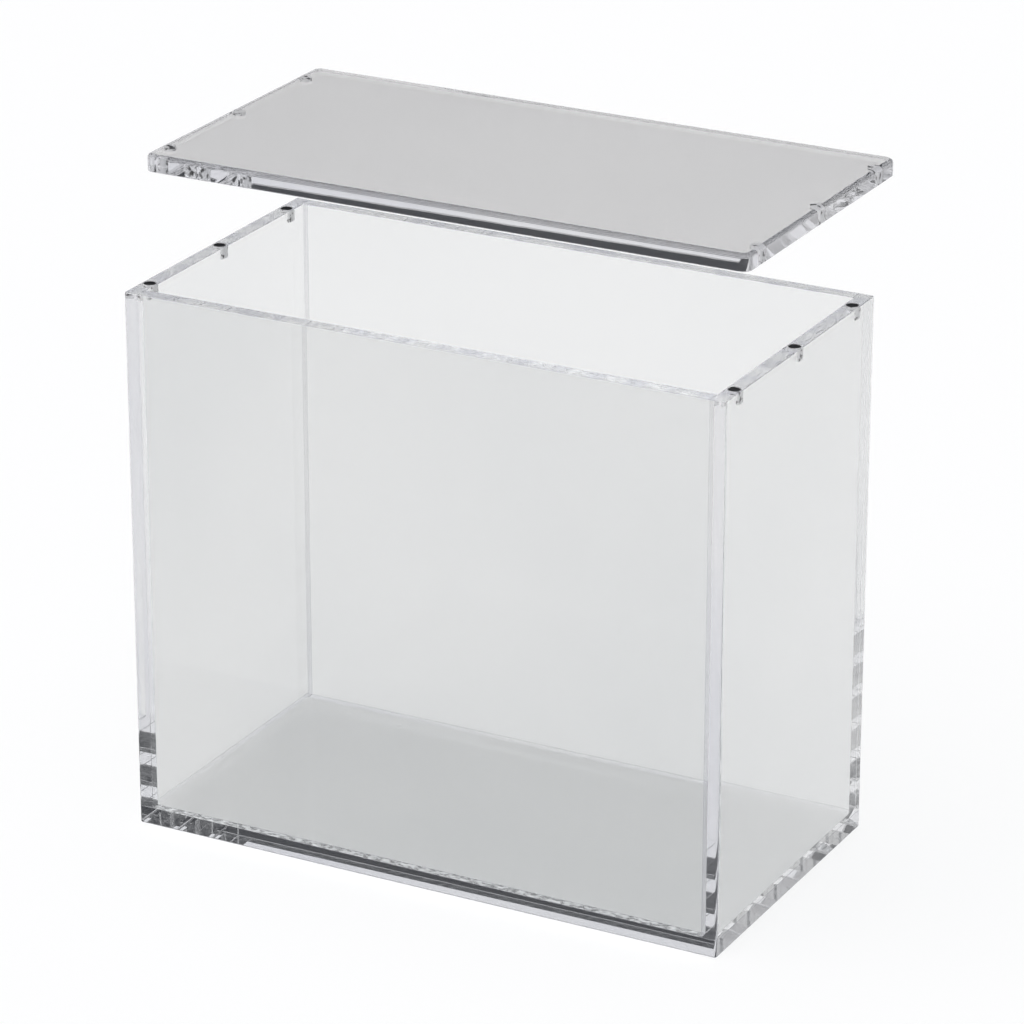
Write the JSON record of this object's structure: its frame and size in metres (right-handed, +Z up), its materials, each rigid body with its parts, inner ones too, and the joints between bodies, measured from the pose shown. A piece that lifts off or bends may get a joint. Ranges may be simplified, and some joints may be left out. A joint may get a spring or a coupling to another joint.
{
  "type": "acrylic display case",
  "caption": "Clear acrylic box with welded walls and a flat lift-off lid, held on the side walls by sunk-in magnets; it shows and protects a boxed collectible.",
  "frame": {"origin": "centre of the base plate's underside", "axes": "+Z up, -Y the front with the wide panel, +X to the right as seen from the front"},
  "size_m": [0.204, 0.1185, 0.2195],
  "materials": {
    "case_acrylic": "clear colourless cast acrylic, polished faces and edges",
    "lid_acrylic": "clear colourless cast acrylic, polished faces and rounded edges",
    "magnet_coating": "black coated sintered magnet, satin"
  },
  "bodies": {
    "case": {"base_plate": "case_acrylic", "left_wall": "case_acrylic", "right_wall": "case_acrylic", "front_panel": "case_acrylic", "back_panel": "case_acrylic", "left_front_wall_magnet": "magnet_coating", "left_middle_wall_magnet": "magnet_coating", "left_rear_wall_magnet": "magnet_coating", "right_front_wall_magnet": "magnet_coating", "right_middle_wall_magnet": "magnet_coating", "right_rear_wall_magnet": "magnet_coating"},
    "lid": {"lid_plate": "lid_acrylic", "left_front_lid_magnet": "magnet_coating", "left_middle_lid_magnet": "magnet_coating", "left_rear_lid_magnet": "magnet_coating", "right_front_lid_magnet": "magnet_coating", "right_middle_lid_magnet": "magnet_coating", "right_rear_lid_magnet": "magnet_coating"}
  },
  "joints": [
    {"name": "lid_lift", "type": "slide", "parent": "case", "child": "lid", "axis": [0, 0.3599, 0.933], "range_m": [-0.03751, 0.15]}
  ]
}
